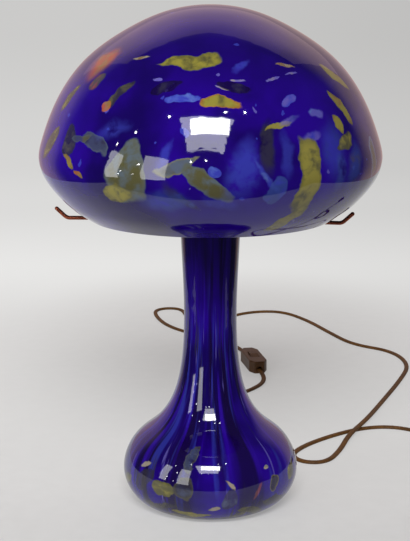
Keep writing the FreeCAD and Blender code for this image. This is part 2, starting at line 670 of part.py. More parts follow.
# ---- every piece -----------------------------------------------------------------------------------------
def build():
    save("foot_glass", make_foot())
    shade = save("shade_glass", make_shade())
    save("cord_grommet", make_grommet())
    save("threaded_tube", ring(TUBE_RADIUS, TUBE_BORE, TUBE_BOTTOM, TUBE_TOP))
    save("neck_bung", ring(BUNG_RADIUS, THREAD_BORE, BUNG_BOTTOM, BUNG_TOP))
    save("lower_bung_washer", ring(WASHER_RADIUS, THREAD_BORE, BUNG_BOTTOM - WASHER_THICKNESS, BUNG_BOTTOM))
    save("upper_bung_washer", ring(WASHER_RADIUS, THREAD_BORE, BUNG_TOP, BUNG_TOP + WASHER_THICKNESS))
    lower_nut = BUNG_BOTTOM - WASHER_THICKNESS - NUT_HEIGHT
    save("lower_bung_nut", hexagon(NUT_FLATS, lower_nut, NUT_HEIGHT, THREAD_BORE))
    save("upper_bung_nut", hexagon(NUT_FLATS, BUNG_TOP + WASHER_THICKNESS, NUT_HEIGHT, THREAD_BORE))
    save("neck_gasket", ring(FOOT_OUTLINE[0][0], GASKET_BORE, NECK_TOP, CAP_BOTTOM))
    save("neck_cap", make_neck_cap())
    save("hub_nut", hexagon(NUT_FLATS, HUB_TOP, NUT_HEIGHT, THREAD_BORE))
    hooks = []
    for side, (azimuth, reach) in HOOKS.items():
        hooks.append(save(f"shade_arm_{side}", make_hook(azimuth, reach)))
        print(f"  gap from the glass {hooks[-1].distToShape(shade)[0]:.2f} mm")
    save("arm_hub", make_hub(hooks))

    save("lampholder_cap", make_holder_cap())
    save("lampholder_shell", make_holder_shell())
    terminal_screws = save("terminal_screws", make_terminal_screws())
    save("porcelain_insert", ring(INSERT_RADIUS, None, INSERT_BOTTOM, INSERT_TOP).cut(terminal_screws))
    save("screw_shell", make_screw_shell())
    save("centre_contact", make_centre_contact())
    save("inner_flex", make_inner_flex())
    save("flex_leads", make_leads())

    save("bulb_glass", make_bulb_glass())
    save("bulb_cap", make_bulb_cap())
    save("bulb_insulator", polyline_revolve([
        (0, BULB_TIP + 1.6), (4.5, BULB_TIP + 1.6), (12.0, SOCKET_END), (0, SOCKET_END)]))
    save("bulb_contact", ring(4.0, None, BULB_TIP, BULB_TIP + 1.6))
    stem = save("bulb_stem", make_stem())
    save("filament", make_filament().cut(stem))

    base, cover = make_switch_shells()
    save("switch_base", in_place(base))
    save("switch_cover", in_place(cover))
    save("switch_rocker", in_place(make_rocker()))
    save("rocker_bridge", in_place(make_bridge()))
    save("rocker_pin", in_place(Part.makeCylinder(SWITCH_PIN, 17, V(0, -8.5, ROCKER_PIVOT), V(0, 1, 0))))
    save("switch_terminals", in_place(make_terminals()))
    save("switch_screws", in_place(make_switch_screws()))

    along = polar(1, SWITCH_HEADING)
    near = SWITCH_NEAR + UP * CORD_AXIS
    far = near + along * SWITCH_LENGTH
    before = near - along * RUN_INTO_SWITCH
    before.z = FLOOR
    after = far + along * RUN_FROM_SWITCH
    after.z = FLOOR
    first, first_length = cord_tube("cord_foot_to_switch",
                                    [EXIT] + ROUTE_TO_SWITCH + [before, near + along * IN_SWITCH])
    save("cord_foot_to_switch", first)
    start = coil_point(0)
    last_corner = start - coil_heading(0) * RUN_AT_COIL
    last_corner.z = FLOOR
    second, second_length = cord_tube("cord_switch_to_coil",
                                      [far - along * IN_SWITCH, after] + ROUTE_TO_COIL + [last_corner, start])
    save("cord_switch_to_coil", second)
    coil, coil_length = make_coil()
    save("cord_coil", coil)
    bend, cord_end, _ = plug_frame()
    third, third_length = cord_tube("cord_to_plug", [coil_point(COIL_TURNS), bend, cord_end])
    save("cord_to_plug", third)
    save("coil_tie", make_tie())
    save("plug_body", in_plug_place(make_plug_body()))
    pins, sleeves = make_pins()
    save("plug_pins", in_plug_place(pins))
    save("plug_sleeves", in_plug_place(sleeves))
    save("plug_boot", make_boot())
    inside = SWITCH_LENGTH - 2 * IN_SWITCH
    total = first_length + inside + second_length + coil_length + third_length
    print(f"cord from the foot to the plug: {total:.0f} mm")


build()
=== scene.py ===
"""Mushroom table lamp: its finishes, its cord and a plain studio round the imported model.

Metres, +Z up, -Y towards the viewer.  The origin is the centre of the foot on the table.
"""
import json
import math

import bmesh
import bpy
from mathutils import Matrix, Vector


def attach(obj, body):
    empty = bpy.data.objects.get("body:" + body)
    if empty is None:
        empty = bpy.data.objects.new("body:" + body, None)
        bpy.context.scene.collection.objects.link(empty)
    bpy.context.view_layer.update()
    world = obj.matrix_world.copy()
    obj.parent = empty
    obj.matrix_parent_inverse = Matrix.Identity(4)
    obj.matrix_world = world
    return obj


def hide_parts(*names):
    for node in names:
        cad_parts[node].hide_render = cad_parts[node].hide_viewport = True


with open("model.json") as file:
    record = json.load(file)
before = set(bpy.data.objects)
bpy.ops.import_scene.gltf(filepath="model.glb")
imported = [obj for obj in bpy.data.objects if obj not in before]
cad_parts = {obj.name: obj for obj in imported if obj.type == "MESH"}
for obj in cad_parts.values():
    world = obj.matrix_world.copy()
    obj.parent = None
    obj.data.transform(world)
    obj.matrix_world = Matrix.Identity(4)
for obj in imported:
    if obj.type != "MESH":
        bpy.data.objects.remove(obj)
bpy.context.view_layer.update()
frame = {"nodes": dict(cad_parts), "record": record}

MM = 0.001
nodes = frame["nodes"]


def srgb(red, green, blue):
    """A colour read off as 0 to 255, as the shaders want it."""
    def linear(level):
        level /= 255
        return level / 12.92 if level <= 0.04045 else ((level + 0.055) / 1.055) ** 2.4
    return (linear(red), linear(green), linear(blue), 1.0)


# ---- camera ----------------------------------------------------------------------------------------------
PHOTO_HEIGHT = 541
FOCAL_PIXELS = 1371.4
SENSOR = 36.0
CAMERA_PLACE = (0.0, -1.200, 0.4675)
CAMERA_DOWN = math.radians(11.94)
CAMERA_LEFT = math.radians(0.23)

camera_data = bpy.data.cameras.new("camera")
camera_data.sensor_width = SENSOR
camera_data.lens = FOCAL_PIXELS * SENSOR / PHOTO_HEIGHT
camera = bpy.data.objects.new("camera", camera_data)
camera.location = CAMERA_PLACE
camera.rotation_euler = (math.pi / 2 - CAMERA_DOWN, 0, CAMERA_LEFT)
bpy.context.scene.collection.objects.link(camera)
bpy.context.scene.camera = camera


# ---- shader wiring ---------------------------------------------------------------------------------------
class Wiring:
    """Adds nodes to a shader tree; a socket or a plain value may feed any input."""

    def __init__(self, tree):
        self.tree = tree

    def feed(self, socket, value):
        if isinstance(value, bpy.types.NodeSocket):
            self.tree.links.new(value, socket)
        else:
            socket.default_value = value

    def add(self, kind, feeds=None, **settings):
        node = self.tree.nodes.new(kind)
        for key, value in settings.items():
            setattr(node, key, value)
        for key, value in (feeds or {}).items():
            self.feed(node.inputs[key], value)
        return node

    def math(self, operation, *values):
        return self.add("ShaderNodeMath", dict(enumerate(values)), operation=operation).outputs[0]

    def vector(self, operation, *values):
        return self.add("ShaderNodeVectorMath", dict(enumerate(values)), operation=operation).outputs[0]

    def ramp(self, value, low, high, to_low=0.0, to_high=1.0):
        """The value's way from low to high, eased at both ends."""
        feeds = {"Value": value, "From Min": low, "From Max": high, "To Min": to_low, "To Max": to_high}
        return self.add("ShaderNodeMapRange", feeds, interpolation_type="SMOOTHSTEP").outputs["Result"]

    def mix(self, share, under, over):
        """The colour over laid on the colour under, as a share of it."""
        node = self.add("ShaderNodeMix", data_type="RGBA")
        for index, value in ((0, share), (6, under), (7, over)):
            self.feed(node.inputs[index], value)
        return node.outputs[2]

    def noise(self, vector, scale, detail=2.0, output="Fac"):
        feeds = {"Vector": vector, "Scale": scale, "Detail": detail}
        return self.add("ShaderNodeTexNoise", feeds).outputs[output]

    def position(self):
        """Where a point lies on the piece, as its x, y and z."""
        return self.add("ShaderNodeTexCoord").outputs["Object"]

    def split(self, vector):
        return self.add("ShaderNodeSeparateXYZ", {0: vector}).outputs

    def group(self, tree, feeds):
        node = self.add("ShaderNodeGroup")
        node.node_tree = tree
        for key, value in feeds.items():
            self.feed(node.inputs[key], value)
        return node.outputs


SOCKETS = {"colour": "NodeSocketColor", "vector": "NodeSocketVector", "value": "NodeSocketFloat"}


def shader_group(name, inputs, outputs, build):
    """A shared effect: named inputs with their usual values, and outputs that build wires up."""
    tree = bpy.data.node_groups.new(name, "ShaderNodeTree")
    for label, (kind, usual) in inputs.items():
        socket = tree.interface.new_socket(name=label, in_out="INPUT", socket_type=SOCKETS[kind])
        socket.default_value = usual
    for label, kind in outputs.items():
        tree.interface.new_socket(name=label, in_out="OUTPUT", socket_type=SOCKETS[kind])
    wiring = Wiring(tree)
    entry = wiring.add("NodeGroupInput").outputs
    made = build(wiring, {label: entry[label] for label in inputs})
    leave = wiring.add("NodeGroupOutput").inputs
    for label, value in made.items():
        wiring.feed(leave[label], value)
    return tree


RIM_BAND, RIM_COVER = (0.6, 0.98), 0.6       # from the middle of a chip at 0 to its edge at 1


def chip_colour(w, given):
    """One shard of coloured glass melted into the surface, over the colour under it."""
    local = w.add("ShaderNodeMapping", {"Vector": given["Position"], "Location": given["Place"],
                                        "Rotation": given["Turn"], "Scale": given["Size"]},
                  vector_type="TEXTURE").outputs[0]
    x, y, z = w.split(local)
    along = w.math("ABSOLUTE", x)
    widening = w.math("ADD", 1.0, w.math("MULTIPLY", x, given["Taper"]))
    across = w.math("ABSOLUTE", w.math("MULTIPLY", y, widening))
    power = given["Corners"]
    total = w.math("ADD", w.math("POWER", along, power), w.math("POWER", across, power))
    reach = w.math("MAXIMUM", w.math("POWER", total, w.math("DIVIDE", 1.0, power)),
                   w.math("ABSOLUTE", z))
    mask = w.ramp(reach, 1.0, given["Sharpness"])
    inside = w.mix(w.ramp(given["Grain"], 0.44, 0.72), given["Fill"], given["Vein"])
    inside = w.mix(w.ramp(reach, *RIM_BAND, 0.0, RIM_COVER), inside, given["Rim"])
    return {"Colour": w.mix(w.math("MULTIPLY", mask, given["Cover"]), given["Under"], inside)}


GREY = (0.5, 0.5, 0.5, 1.0)
CHIP = shader_group("Glass Chip", {
    "Under": ("colour", GREY), "Position": ("vector", (0, 0, 0)), "Place": ("vector", (0, 0, 0)),
    "Turn": ("vector", (0, 0, 0)), "Size": ("vector", (1, 1, 1)), "Taper": ("value", 0.0),
    "Corners": ("value", 2.0), "Sharpness": ("value", 0.86), "Grain": ("value", 0.5),
    "Fill": ("colour", GREY), "Vein": ("colour", GREY), "Rim": ("colour", GREY), "Cover": ("value", 1.0),
}, {"Colour": "colour"}, chip_colour)


FLECK_CORNERS = 1.3                          # under 2, so that flecks come out pointed
FLECK_EDGE = 0.84                            # how far in from the edge a fleck is whole
LEAST_FLECK = 0.45                           # size of the least fleck, where the largest is 1 more


def fleck_mask(w, given):
    """Random shards all over, as a mask of where they are."""
    cells = w.add("ShaderNodeTexVoronoi", {"Vector": given["Position"], "Scale": given["Scale"],
                                           "Randomness": 1.0}, distance="MINKOWSKI", feature="F1")
    w.feed(cells.inputs["Exponent"], FLECK_CORNERS)
    chance = w.add("ShaderNodeSeparateColor", {0: cells.outputs["Color"]}).outputs
    size = w.math("MULTIPLY", given["Size"], w.math("ADD", LEAST_FLECK, chance[1]))
    kept = w.math("LESS_THAN", chance[0], given["Share"])
    inside = w.ramp(cells.outputs["Distance"], size, w.math("MULTIPLY", size, FLECK_EDGE))
    return {"Mask": w.math("MULTIPLY", inside, kept)}


FLECKS = shader_group("Scattered Flecks", {
    "Position": ("vector", (0, 0, 0)), "Scale": ("value", 10.0), "Size": ("value", 0.3),
    "Share": ("value", 0.3),
}, {"Mask": "value"}, fleck_mask)


def melted(w, position, *pushes):
    """Object coordinates pushed about by noise, so that chips come out ragged."""
    place = position
    for scale, amount in pushes:
        push = w.vector("SUBTRACT", w.noise(position, scale, output="Color"), (0.5, 0.5, 0.5))
        place = w.vector("ADD", place, w.vector("MULTIPLY", push, (amount, amount, amount)))
    return place


def surface_marks(w, given):
    """Fine grain and broader smudges, as a value round a half and as a roughness."""
    fine = w.noise(given["Position"], given["Grain Scale"], 4.0)
    broad = w.noise(given["Position"], given["Smudge Scale"], 3.0)
    both = w.math("ADD", w.math("MULTIPLY", fine, 0.55), w.math("MULTIPLY", broad, 0.45))
    change = w.math("MULTIPLY", w.math("SUBTRACT", both, 0.5), given["Spread"])
    return {"Grain": both, "Height": fine, "Roughness": w.math("ADD", given["Roughness"], change)}


MARKS = shader_group("Surface Marks", {
    "Position": ("vector", (0, 0, 0)), "Grain Scale": ("value", 900.0), "Smudge Scale": ("value", 40.0),
    "Roughness": ("value", 0.4), "Spread": ("value", 0.3),
}, {"Grain": "value", "Height": "value", "Roughness": "value"}, surface_marks)


def material(name, build):
    """A material whose Principled shader is fed by what build returns."""
    made = bpy.data.materials.new(name)
    made.use_nodes = True
    made.node_tree.nodes.clear()
    w = Wiring(made.node_tree)
    shader = w.add("ShaderNodeBsdfPrincipled")
    output = w.add("ShaderNodeOutputMaterial")
    w.feed(output.inputs["Surface"], shader.outputs[0])
    for key, value in build(w, w.position()).items():
        w.feed(shader.inputs[key], value)
    return made


def bump(w, height, depth, strength=1.0):
    feeds = {"Height": height, "Distance": depth, "Strength": strength}
    return w.add("ShaderNodeBump", feeds).outputs["Normal"]


def marks_on(w, position, grain, smudge, roughness, spread):
    return w.group(MARKS, {"Position": position, "Grain Scale": grain, "Smudge Scale": smudge,
                           "Roughness": roughness, "Spread": spread})


def plain_finish(name, light, dark, roughness, spread=0.2, metal=0.0, specular=0.5,
                 grain=900.0, smudge=40.0, depth=0.00004):
    """A finish of two close colours, with grain, smudges and a fine bump."""
    def build(w, position):
        marks = marks_on(w, position, grain, smudge, roughness, spread)
        return {"Base Color": w.mix(w.ramp(marks["Grain"], 0.35, 0.65), dark, light),
                "Roughness": marks["Roughness"], "Metallic": metal, "Specular IOR Level": specular,
                "Normal": bump(w, marks["Height"], depth)}
    return material(name, build)


# ---- cased cobalt glass ----------------------------------------------------------------------------------
COBALT = srgb(30, 2, 118)
DEEP_COBALT = srgb(14, 1, 70)
VIOLET_BLUE = srgb(44, 12, 150)
HAZE_BLUE = srgb(52, 60, 160)
PALE_BLUE = srgb(92, 118, 178)
OLIVE = srgb(74, 72, 42)
DARK_OLIVE = srgb(38, 36, 44)
YELLOW_GREEN = srgb(124, 117, 48)
GREY_GREEN = srgb(76, 86, 92)
SLATE = srgb(52, 58, 76)
OCHRE = srgb(118, 94, 52)
ORANGE = srgb(146, 66, 34)
MAUVE = srgb(92, 84, 160)
CREAM = srgb(142, 132, 112)
TEAL = srgb(38, 44, 132)
INK = srgb(14, 4, 42)
STEEL_BLUE = srgb(48, 66, 128)

# radius and height of the glass from the top down, in mm, as in the lamp's own drawing
SHADE_STATIONS = [(0, 447.6), (43, 440.5), (73.5, 426.3), (111.2, 398.3), (133.9, 365.8), (146.9, 333),
                  (150, 317.5), (145.5, 300.7), (131.4, 282.1), (107, 263.5)]
FOOT_STATIONS = [(26.7, 252), (25, 216.5), (23.7, 170), (26.6, 126.6), (35.2, 95.8), (49.9, 75.3),
                 (67.2, 60.8), (78.2, 41.3), (79.3, 27.5), (72.8, 11.3), (56, 0)]
RAGGED_PUSHES = ((26.0, 0.02), (70.0, 0.007), (170.0, 0.003))      # scale of the noise and push in metres
GRAIN_SCALE, SWIRL_SCALE, RIPPLE_SCALE = 95.0, 11.0, 16.0
RIPPLE_DEPTH, RIPPLE_STRENGTH = 0.0012, 0.35
GLASS_ROUGHNESS, GLASS_IOR = 0.035, 1.5
CROWN_DARKENS, CROWN_COVER = (0.36, 0.41), 0.55         # heights on the shade, in metres
# painted shade: between these heights the neck darkens towards ink under the overhanging shade
NECK_PAINTED_SHADE, NECK_SHADE_COVER = (0.17, 0.24), 0.5            # heights on the neck
BACK_SETS_IN = (-0.02, 0.03)                            # y where the flecks of the back set in
FOOT_FLECKS_END = (0.085, 0.065)                        # heights over which they end on the foot
COLOURED_STREAKS_SET_IN = (0.24, 0.13)                  # heights from which they show down the neck
STREAK_DRIFT = 1.5                                      # how much they change along the neck
STREAK_PLACE = (1.0, -1.0, 0.37)                        # where each set is read from the noise, by its scale

# scale, size, share, fill, vein and cover of each layer of flecks on the back, which the photograph hides
BACK_FLECKS = [
    (15.0, 0.40, 0.40, OLIVE, YELLOW_GREEN, 0.9), (21.0, 0.38, 0.30, GREY_GREEN, STEEL_BLUE, 0.85),
    (13.0, 0.34, 0.35, INK, DEEP_COBALT, 0.9), (31.0, 0.34, 0.22, OCHRE, ORANGE, 0.85),
]
# scale, size, share, fill and cover of the fine specks all over the shade
SHADE_SPECKS = [(85.0, 0.2, 0.16, HAZE_BLUE, 0.6), (120.0, 0.2, 0.07, MAUVE, 0.7)]
# scale, low, high, tint and cover of each set of streaks, and whether it runs all the way up the neck
NECK_STREAKS = [
    (3.4, 0.46, 0.6, INK, 0.85, True), (6.0, 0.54, 0.66, VIOLET_BLUE, 0.55, True),
    (8.0, 0.54, 0.68, TEAL, 0.65, False), (10.0, 0.62, 0.7, DARK_OLIVE, 0.8, False),
    (17.0, 0.66, 0.74, MAUVE, 0.5, False),
]

SHARP_EDGE, SOFT_EDGE = 0.86, 0.3
FAINT_COVER = 0.6            # a chip that covers no more than this has a soft edge
CHIP_DEPTH = 0.030           # how deep a chip reaches in from the surface, so that it wraps the curve

# Each chip: degrees round to the right of the front, height, half length and half width in mm, degrees of
# turn, corners (2 is an ellipse and more is squarer), taper, fill, vein, rim, cover and, where it isn't the
# usual one, how far in from the edge the chip is whole.
SHADE_CHIPS = [
    (-12, 403, 22, 8, 6, 1.5, -0.5, YELLOW_GREEN, OLIVE, OLIVE, 1.0),
    (-2, 405, 15, 8, 10, 3.0, -0.3, YELLOW_GREEN, OLIVE, OLIVE, 1.0),
    (-22, 391, 5, 1.6, -8, 2.0, 0.0, MAUVE, CREAM, MAUVE, 0.8),
    (12, 392, 6, 1.2, 3, 2.0, 0.0, CREAM, MAUVE, MAUVE, 0.8),
    (5, 384, 6, 1.2, -14, 2.0, 0.0, CREAM, MAUVE, MAUVE, 0.8),
    (24, 390, 7, 1.6, 6, 2.0, 0.0, MAUVE, CREAM, MAUVE, 0.7),
    (33, 391, 7, 1.2, 4, 2.0, 0.0, MAUVE, CREAM, MAUVE, 0.7),
    (28, 372, 5, 4, 40, 2.0, 0.0, HAZE_BLUE, MAUVE, HAZE_BLUE, 0.8),
    (-39, 367, 4, 4, 40, 2.0, 0.0, HAZE_BLUE, MAUVE, HAZE_BLUE, 0.8),
    (-8, 353, 6, 4, -30, 2.0, 0.0, HAZE_BLUE, VIOLET_BLUE, HAZE_BLUE, 0.7),
    (3, 374.5, 19, 4.8, -3, 3.2, -0.1, YELLOW_GREEN, OLIVE, ORANGE, 1.0),
    (-10, 378, 12, 3.2, -3, 3.0, 0.0, HAZE_BLUE, PALE_BLUE, HAZE_BLUE, 0.8),
    (13, 401, 10, 4, 50, 2.0, 0.2, HAZE_BLUE, VIOLET_BLUE, VIOLET_BLUE, 0.6),
    (-31, 405, 11, 2.4, 14, 1.6, 0.0, CREAM, OCHRE, OLIVE, 0.8),
    (33, 399, 11, 2.0, -8, 1.6, 0.0, OCHRE, CREAM, OCHRE, 0.8),
    (-56, 401, 21, 15, 60, 2.0, 0.2, ORANGE, OCHRE, ORANGE, 0.9, 0.35),
    (-50, 386, 9, 8, 50, 2.0, 0.2, OLIVE, ORANGE, DARK_OLIVE, 0.7),
    (-35, 378, 16, 4, 56, 1.6, 0.3, DARK_OLIVE, OLIVE, DARK_OLIVE, 0.9),
    (-39, 368, 6, 3.4, 50, 2.0, 0.0, ORANGE, OCHRE, ORANGE, 0.9),
    (-17, 386, 13, 5, 8, 1.8, 0.0, INK, DARK_OLIVE, INK, 0.85),
    (10, 386, 15, 6, -6, 1.8, 0.0, INK, DARK_OLIVE, INK, 0.85),
    (-64, 372, 18, 7, 62, 1.7, 0.2, OLIVE, YELLOW_GREEN, DARK_OLIVE, 0.9),
    (-53, 340, 16, 9, 82, 2.0, 0.0, DARK_OLIVE, OLIVE, DARK_OLIVE, 0.85),
    (-51, 325, 9, 4, -12, 1.6, 0.0, OCHRE, YELLOW_GREEN, OLIVE, 0.95),
    (-45, 318, 8, 3, -25, 1.6, 0.0, OCHRE, ORANGE, OLIVE, 0.95),
    (-40, 340, 19, 6.5, -30, 1.8, 0.3, SLATE, DARK_OLIVE, GREY_GREEN, 0.85),
    (-47, 345, 13, 3, 8, 1.8, 0.2, SLATE, OLIVE, GREY_GREEN, 0.8),
    (-26, 322, 27, 17, 84, 1.7, 0.55, OLIVE, GREY_GREEN, GREY_GREEN, 0.95),
    (-30, 303, 17, 9, 4, 1.9, 0.0, YELLOW_GREEN, OLIVE, OLIVE, 0.9),
    (-9, 328, 20, 6, 20, 2.0, 0.3, GREY_GREEN, OLIVE, YELLOW_GREEN, 0.85),
    (-0.5, 312, 25, 8, -36, 3.6, 0.05, OLIVE, GREY_GREEN, GREY_GREEN, 0.95),
    (-9, 300, 23, 6, -42, 2.2, 0.0, DARK_OLIVE, STEEL_BLUE, DEEP_COBALT, 0.7, 0.4),
    (-14, 297, 26, 13, 10, 2.0, 0.0, STEEL_BLUE, HAZE_BLUE, TEAL, 0.55),
    (3, 296, 20, 8, -20, 2.0, 0.0, TEAL, HAZE_BLUE, STEEL_BLUE, 0.5),
    (10, 324, 33, 17, 78, 2.0, 0.2, HAZE_BLUE, VIOLET_BLUE, VIOLET_BLUE, 0.55),
    (18, 341, 26, 8, 80, 2.2, 0.2, DARK_OLIVE, INK, DEEP_COBALT, 0.85, 0.5),
    (2, 322, 5, 5, 0, 2.0, 0.0, HAZE_BLUE, PALE_BLUE, HAZE_BLUE, 0.7),
    (17, 316, 22, 3, -52, 1.8, 0.0, HAZE_BLUE, PALE_BLUE, HAZE_BLUE, 0.55),
    (-34, 352, 22, 10, 30, 2.0, 0.0, HAZE_BLUE, DEEP_COBALT, HAZE_BLUE, 0.35),
    (-14, 337, 16, 5, 74, 2.0, 0.2, HAZE_BLUE, STEEL_BLUE, HAZE_BLUE, 0.5),
    (42, 334, 30, 20, 84, 2.0, 0.0, HAZE_BLUE, STEEL_BLUE, HAZE_BLUE, 0.45),
    (52, 322, 24, 10, 70, 2.0, 0.2, STEEL_BLUE, OLIVE, TEAL, 0.55),
    (24, 334, 25, 6, 84, 2.0, 0.0, HAZE_BLUE, TEAL, HAZE_BLUE, 0.4),
    (24, 355, 14, 2.8, 12, 1.6, 0.2, YELLOW_GREEN, OCHRE, OLIVE, 0.9),
    (28, 358, 12, 3.5, 16, 2.0, 0.0, MAUVE, STEEL_BLUE, HAZE_BLUE, 0.6),
    (38, 362, 7, 3.5, -8, 2.0, 0.0, MAUVE, PALE_BLUE, VIOLET_BLUE, 0.6, 0.5),
    (34, 348, 11, 5, 12, 2.0, 0.0, MAUVE, HAZE_BLUE, VIOLET_BLUE, 0.6, 0.5),
    (31, 319, 33, 10.5, 86, 4.0, 0.05, YELLOW_GREEN, OLIVE, OLIVE, 0.95),
    (28, 281, 24, 6.5, 56, 2.2, 0.3, YELLOW_GREEN, OLIVE, OLIVE, 0.9),
    (35, 276, 11, 1.0, 78, 1.6, 0.0, INK, INK, INK, 0.9),
    (47, 353, 9, 5, -58, 1.8, 0.0, YELLOW_GREEN, OCHRE, OLIVE, 0.95),
    (49, 340, 13, 6, 25, 1.8, -0.3, OLIVE, YELLOW_GREEN, DARK_OLIVE, 0.9),
    (53, 367, 19, 5, -64, 1.8, 0.3, YELLOW_GREEN, OCHRE, OLIVE, 0.9),
    (60, 391, 18, 6, -58, 1.8, 0.2, YELLOW_GREEN, OCHRE, OLIVE, 0.85),
    (20, 306, 13, 8, 80, 2.2, 0.0, STEEL_BLUE, HAZE_BLUE, STEEL_BLUE, 0.7),
    (45, 318, 17, 9, 86, 2.0, 0.2, STEEL_BLUE, DEEP_COBALT, HAZE_BLUE, 0.6),
    (-66, 336, 16, 8, 60, 1.7, 0.2, OLIVE, YELLOW_GREEN, DARK_OLIVE, 0.85),
    (66, 322, 17, 8, 75, 1.8, 0.0, GREY_GREEN, OLIVE, PALE_BLUE, 0.8),
]
FOOT_CHIPS = [
    (-49, 50, 6, 2.6, 24, 1.8, 0.0, CREAM, GREY_GREEN, OLIVE, 0.75),
    (-46, 36, 13, 10, 40, 2.0, 0.2, DARK_OLIVE, DEEP_COBALT, DARK_OLIVE, 0.8),
    (-31, 32, 9, 8, 20, 2.4, 0.2, OLIVE, YELLOW_GREEN, OLIVE, 0.95),
    (-18, 36, 13, 9, 62, 2.0, 0.3, DARK_OLIVE, SLATE, OLIVE, 0.9),
    (-13, 62, 17, 4, 72, 2.2, 0.3, SLATE, INK, OLIVE, 0.85),
    (14, 42, 9, 1.8, -42, 1.6, 0.0, CREAM, OCHRE, DARK_OLIVE, 0.85),
    (41, 47, 3.4, 2.4, 40, 2.0, 0.0, CREAM, GREY_GREEN, CREAM, 0.9),
    (46, 32, 8, 6, 60, 2.0, 0.0, DARK_OLIVE, INK, YELLOW_GREEN, 0.9),
    (3, 17, 7, 2.6, 6, 1.8, 0.0, CREAM, YELLOW_GREEN, OLIVE, 0.85),
    (-13, 10, 22, 4, 2, 1.8, 0.0, YELLOW_GREEN, OLIVE, OLIVE, 0.85),
    (14, 26, 12, 8, 70, 2.0, 0.0, DARK_OLIVE, GREY_GREEN, DARK_OLIVE, 0.7),
    (30, 12, 14, 4, -4, 1.8, 0.0, OLIVE, YELLOW_GREEN, OLIVE, 0.8),
    (33, 30, 9, 2.4, 65, 1.8, 0.0, ORANGE, OLIVE, DARK_OLIVE, 0.4, 0.5),
    (-40, 13, 22, 4, 6, 1.8, 0.0, DARK_OLIVE, OLIVE, DARK_OLIVE, 0.8),
    (52, 17, 20, 4.5, -8, 1.8, 0.0, DARK_OLIVE, OLIVE, DARK_OLIVE, 0.8),
    (-8, 5, 50, 3, 0, 2.4, 0.0, DARK_OLIVE, YELLOW_GREEN, DARK_OLIVE, 0.7),
    (66, 40, 12, 6, 40, 1.7, 0.2, OLIVE, YELLOW_GREEN, GREY_GREEN, 0.9),
    (-68, 30, 12, 6, 30, 1.7, 0.2, OLIVE, YELLOW_GREEN, GREY_GREEN, 0.9),
]


def station_at(stations, height):
    """Radius of the glass at a height on the side that shows, and the slope of its outline there."""
    for (upper_radius, upper), (lower_radius, lower) in zip(stations, stations[1:]):
        if lower <= height <= upper:
            share = (upper - height) / (upper - lower)
            slope = math.atan2(lower_radius - upper_radius, upper - lower)
            return upper_radius + (lower_radius - upper_radius) * share, slope
    raise ValueError(f"no glass at height {height}")


def with_chips(w, under, ragged, grain, chips, stations):
    """The chips of the front laid on the glass, each turned to face out from it."""
    for chip in chips:
        azimuth, height, half_length, half_width, turn, corners, taper, fill, vein, rim, cover, *edge = chip
        radius, slope = station_at(stations, height)
        azimuth = math.radians(azimuth)
        place = Vector((radius * math.sin(azimuth), -radius * math.cos(azimuth), height)) * MM
        facing = Matrix.Rotation(azimuth, 3, "Z") @ Matrix.Rotation(math.pi / 2 - slope, 3, "X")
        turned = facing @ Matrix.Rotation(math.radians(turn), 3, "Z")
        usual_edge = SHARP_EDGE if cover > FAINT_COVER else SOFT_EDGE
        under = w.group(CHIP, {
            "Under": under, "Position": ragged, "Place": place, "Turn": turned.to_euler(),
            "Size": (half_length * MM, half_width * MM, CHIP_DEPTH), "Taper": taper, "Corners": corners,
            "Sharpness": edge[0] if edge else usual_edge, "Grain": grain,
            "Fill": fill, "Vein": vein, "Rim": rim, "Cover": cover})["Colour"]
    return under


def with_flecks(w, under, ragged, grain, where):
    """Scattered flecks of coloured glass on the back, like the chips of the front."""
    for scale, size, share, fill, vein, cover in BACK_FLECKS:
        flecks = w.group(FLECKS, {"Position": ragged, "Scale": scale, "Size": size, "Share": share})
        inside = w.mix(w.ramp(grain, 0.42, 0.6), fill, vein)
        mask = w.math("MULTIPLY", w.math("MULTIPLY", flecks["Mask"], where), cover)
        under = w.mix(mask, under, inside)
    return under


def drawn_streaks(w, under, position):
    """Bands of colour pulled along the neck, fanning out over the bell."""
    height = w.split(position)[2]
    round_neck = w.vector("NORMALIZE", w.vector("MULTIPLY", position, (1.0, 1.0, 0.0)))
    along = w.vector("ADD", round_neck, w.vector("MULTIPLY", position, (0.0, 0.0, STREAK_DRIFT)))
    low_down = w.ramp(height, *COLOURED_STREAKS_SET_IN)
    for scale, low, high, tint, cover, all_the_way in NECK_STREAKS:
        own_place = w.vector("ADD", along, tuple(scale * part for part in STREAK_PLACE))
        mask = w.ramp(w.noise(own_place, scale), low, high, 0.0, cover)
        if not all_the_way:
            mask = w.math("MULTIPLY", mask, low_down)
        under = w.mix(mask, under, tint)
    return under


def cobalt(w, ragged):
    """The body of the glass, clouded with a deeper and a more violet blue."""
    swirl = w.noise(ragged, SWIRL_SCALE, 3.0)
    colour = w.mix(w.ramp(swirl, 0.35, 0.6), DEEP_COBALT, COBALT)
    return w.mix(w.ramp(swirl, 0.58, 0.78, 0.0, 0.5), colour, VIOLET_BLUE)


def shade_ground(w, position, ragged, grain):
    """The shade under its front chips: darker at the crown and specked all over."""
    _, y, height = w.split(position)
    colour = w.mix(w.ramp(height, *CROWN_DARKENS, 0.0, CROWN_COVER), cobalt(w, ragged), DEEP_COBALT)
    colour = with_flecks(w, colour, ragged, grain, w.ramp(y, *BACK_SETS_IN))
    for scale, size, share, fill, cover in SHADE_SPECKS:
        specks = w.group(FLECKS, {"Position": ragged, "Scale": scale, "Size": size, "Share": share})
        colour = w.mix(w.math("MULTIPLY", specks["Mask"], cover), colour, fill)
    return colour


